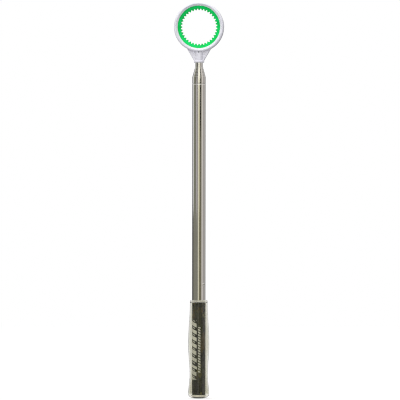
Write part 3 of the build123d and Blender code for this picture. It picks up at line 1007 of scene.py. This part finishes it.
# ---- Studio ----
# Panels and flags round the rod at its own height, as the polished tube mirrors them:
# degrees to the right of the camera's side, then the panel's red, green and blue.
SURROUND = (
    (-180, 0.30, 0.30, 0.32),
    (-158, 0.06, 0.06, 0.08),
    (-138, 0.12, 0.12, 0.14),
    (-124, 0.85, 0.86, 0.88),
    (-104, 0.90, 0.90, 0.88),
    (-94, 0.30, 0.31, 0.26),
    (-80, 0.28, 0.29, 0.22),
    (-63, 0.24, 0.24, 0.18),
    (-54, 0.34, 0.33, 0.31),
    (-46, 0.72, 0.68, 0.70),
    (-32, 0.44, 0.42, 0.42),
    (-20, 0.44, 0.41, 0.39),
    (-14, 0.96, 0.92, 0.74),
    (-3, 1.00, 0.95, 0.74),
    (8, 0.66, 0.62, 0.38),
    (15, 0.30, 0.27, 0.13),
    (18, 0.00, 0.00, 0.00),
    (34, 0.00, 0.00, 0.00),
    (39, 0.46, 0.43, 0.36),
    (54, 0.88, 0.84, 0.80),
    (68, 0.88, 0.84, 0.82),
    (78, 0.48, 0.45, 0.45),
    (112, 0.56, 0.54, 0.53),
    (150, 0.46, 0.46, 0.46),
    (180, 0.30, 0.30, 0.32),
)
SHOWN_WHITE = (1.0, 1.0, 1.0)
DOME_LOW = (0.59, 0.59, 0.61)
DOME_HIGH = (1.28, 1.28, 1.28)
CEILING = (0.98, 0.98, 0.96)
UNDERSIDE = (0.45, 0.44, 0.42)
# Square area lights: name, place, aim and size in metres, and power in watts.
SOFTBOXES = (
    ("overhead_softbox", (-0.15, -0.35, 1.35), (0.0, 0.0, 0.35), 0.9, 5.0),
    ("left_softbox", (-1.3, -1.1, 0.9), (0.0, 0.0, 0.3), 0.8, 5.0),
)


def panel_ramp(wires, share):
    """The surround's colours by the share of a full turn, from behind round to behind."""
    ramp = wires.add("ShaderNodeValToRGB", Fac=share)
    stops = ramp.color_ramp.elements
    while len(stops) > 1:
        stops.remove(stops[-1])
    stops[0].position = 0.0
    stops[0].color = (*SURROUND[0][1:], 1.0)
    for degrees, red, green, blue in SURROUND[1:]:
        stop = stops.new(degrees / 360.0 + 0.5)
        stop.color = (red, green, blue, 1.0)
    return ramp.outputs[0]


def light_world():
    """White to look at, upright panels for mirror rays, and a soft dome for the light itself."""
    world = bpy.data.worlds.new("studio")
    bpy.context.scene.world = world
    world.use_nodes = True
    world.node_tree.nodes.clear()
    world.cycles.sampling_method = "NONE"
    wires = Wiring(world.node_tree)
    direction = wires.add("ShaderNodeTexCoord").outputs["Generated"]
    to_camera_side = wires.add("ShaderNodeMapping", Vector=direction, Rotation=(0.0, 0.0, -VIEW_TURN))
    parts = wires.add("ShaderNodeSeparateXYZ", Vector=to_camera_side.outputs[0])
    backwards = wires.math("MULTIPLY", parts.outputs["Y"], -1.0)
    angle = wires.math("ARCTAN2", parts.outputs["X"], backwards)
    panels = panel_ramp(wires, wires.math("MULTIPLY_ADD", angle, 1 / (2 * math.pi), 0.5))
    # The sine of a ray's angle above the horizon.
    rise = parts.outputs["Z"]
    dimmed = wires.blend(1.0, panels, wires.spread(rise, -0.05, 0.03, 0.72, 1.02), how="MULTIPLY")
    under = wires.blend(wires.spread(rise, -0.20, -0.60, smooth=True), dimmed, UNDERSIDE)
    mirrored = wires.blend(wires.spread(rise, 0.10, 0.40, smooth=True), under, CEILING)
    sideways = wires.math("ABSOLUTE", parts.outputs["X"])
    dome = wires.blend(wires.spread(rise, -0.4, 0.5), DOME_LOW, DOME_HIGH)
    soft = wires.blend(1.0, dome, wires.spread(sideways, 0.35, 0.95, 1.0, 0.45), how="MULTIPLY")
    rays = wires.add("ShaderNodeLightPath")
    unseen = wires.blend(rays.outputs["Is Glossy Ray"], soft, mirrored)
    seen = wires.math("MAXIMUM", rays.outputs["Is Camera Ray"], rays.outputs["Is Transmission Ray"])
    shown = wires.blend(seen, unseen, SHOWN_WHITE)
    background = wires.add("ShaderNodeBackground", Color=shown, Strength=1.0)
    wires.add("ShaderNodeOutputWorld", Surface=background.outputs[0])


def hang_softbox(name, place, aim, size, power):
    """A square area light of the given size, looking at a point, that metal doesn't mirror."""
    data = bpy.data.lights.new(name, "AREA")
    data.size = size
    data.energy = power
    light = bpy.data.objects.new(name, data)
    bpy.context.scene.collection.objects.link(light)
    turn = (Vector(aim) - Vector(place)).to_track_quat("-Z", "Y").to_matrix().to_4x4()
    light.matrix_world = Matrix.Translation(Vector(place)) @ turn
    light.visible_glossy = False
    light.visible_camera = False
    light.visible_transmission = False


PAPER_DARK = (0.255, 0.255, 0.255)
PAPER_LIGHT = (0.275, 0.275, 0.27)
PAPER_GLOW = 0.67


def floor_material():
    """Plain pale paper with a very faint mottle, glowing a little so that it looks white."""
    material, wires, shader = new_material("pale_floor")
    mottle = wires.noise(object_place(wires), 9.0, detail=2.0)
    wires.feed(shader, "Base Color", wires.blend(mottle, PAPER_DARK, PAPER_LIGHT))
    shader.inputs["Roughness"].default_value = 0.9
    shader.inputs["Emission Color"].default_value = (1.0, 1.0, 1.0, 1.0)
    shader.inputs["Emission Strength"].default_value = PAPER_GLOW
    material.cycles.emission_sampling = "NONE"
    return material


FLOOR_TURNS = 96
FLOOR_RINGS = (0.0, 60.0, 400.0, 3000.0)


def lay_floor():
    """A round pale floor under the butt: point (angle, radius) on the plane z = 0."""
    radius = np.array(FLOOR_RINGS)
    angle = (2 * np.pi * np.arange(FLOOR_TURNS) / FLOOR_TURNS)[:, None]
    flat = np.zeros((FLOOR_TURNS, len(radius)))
    points = np.stack([radius * np.cos(angle), radius * np.sin(angle), flat], axis=-1)
    faces = grid_faces(FLOOR_TURNS, len(radius), False)[..., ::-1]
    floor = add_mesh("pale_floor", points.reshape(-1, 3), faces.reshape(-1, 4), floor_material())
    floor.visible_glossy = False
    floor.visible_diffuse = False


CLOTH_DARK = (0.02, 0.02, 0.02)
CLOTH_LIGHT = (0.03, 0.03, 0.03)


def flag_material(name, glow):
    """Dull cloth that glows by a set amount, so that its mirror image has an even tone."""
    material, wires, shader = new_material(name)
    weave = wires.noise(object_place(wires), 40.0)
    wires.feed(shader, "Base Color", wires.blend(weave, CLOTH_DARK, CLOTH_LIGHT))
    shader.inputs["Roughness"].default_value = 1.0
    shader.inputs["Emission Color"].default_value = (*glow, 1.0)
    shader.inputs["Emission Strength"].default_value = 1.0
    material.cycles.emission_sampling = "NONE"
    return material


FLAG_RADIUS = 300.0
FLAG_COLUMNS = 25
# Dark flags and light cards: name, bearings where each starts and ends, its heights, its glow.
# A bearing is in degrees to the right of the camera's side.
FLAGS = (
    ("left_flag", -100.0, -17.0, -60.0, 222.0, (0.25, 0.245, 0.20)),
    ("far_left_flag", -132.0, -100.0, -60.0, 222.0, (0.14, 0.14, 0.12)),
    ("right_flag", 3.0, 33.0, -60.0, 222.0, (0.17, 0.155, 0.085)),
    ("stripe_flag", 15.0, 34.0, 222.0, 322.0, (0.13, 0.12, 0.07)),
    ("cream_card", -21.0, 21.0, 387.5, 470.0, (1.5, 1.48, 1.3)),
    ("shade_card", -66.0, -21.0, 390.0, 440.0, (0.13, 0.13, 0.12)),
)


def stand_flag(name, start, end, low, high, glow):
    """A curved upright flag that is seen only in reflections.

    Point (bearing, height) lies on a cylinder round the rod, between the two bearings and
    the two heights.
    """
    turn = np.radians(np.linspace(start, end, FLAG_COLUMNS))[:, None] - np.pi / 2 + VIEW_TURN
    height = np.broadcast_to([low, high], (FLAG_COLUMNS, 2))
    across = np.broadcast_to(FLAG_RADIUS * np.cos(turn), height.shape)
    along = np.broadcast_to(FLAG_RADIUS * np.sin(turn), height.shape)
    points = np.stack([across, along, height], axis=-1)
    faces = grid_faces(FLAG_COLUMNS, 2, False)[:-1, :, ::-1]
    flag = add_mesh(name, points.reshape(-1, 3), faces.reshape(-1, 4), flag_material(name, glow))
    flag.visible_camera = False
    flag.visible_diffuse = False
    flag.visible_transmission = False
    flag.visible_shadow = False


# ---- Putting it together ----
def dress(node, material):
    """Gives a CAD node that stays its material."""
    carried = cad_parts[node]
    if not carried.material_slots:
        carried.data.materials.append(material)
    for place in carried.material_slots:
        place.material = material


def stand_in(piece, body, node):
    """Hangs a piece on the body it rides on, and hides the node it stands for."""
    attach(piece, body)
    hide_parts(node)


def main():
    """Sets up the view and the studio, then builds and dresses every piece."""
    scene = bpy.context.scene
    scene.view_settings.view_transform = "Standard"
    scene.cycles.use_denoising = True
    scene.cycles.filter_width = 1.1
    place_camera()
    light_world()
    for softbox in SOFTBOXES:
        hang_softbox(*softbox)
    lay_floor()
    for flag in FLAGS:
        stand_flag(*flag)

    steel = drawn_steel()
    brass = spring_brass()
    milky = milky_plastic()

    stand_in(outer_tube(steel), "handle", "section_1_tube")
    for section in range(2, SECTIONS + 1):
        body = "head" if section == SECTIONS else f"section_{section}"
        tube = turned(f"drawn_tube_{section}", tube_outline(section), steel)
        stand_in(tube, body, f"section_{section}_tube")
        dress(f"section_{section}_sleeve", brass)
    stand_in(grip(clear_vinyl()), "handle", "grip_sleeve")
    stand_in(label(printed_film()), "handle", "grip_label")
    stand_in(soft_insert(green_rubber()), "head", "gripping_ring")
    dress("tube_end_plug", natural_plastic())
    dress("rod_tip_plug", turned_steel())
    dress("neck_pin", shaded_pin_steel())
    dress("head_shell_front", milky)
    dress("head_shell_rear", milky)


main()
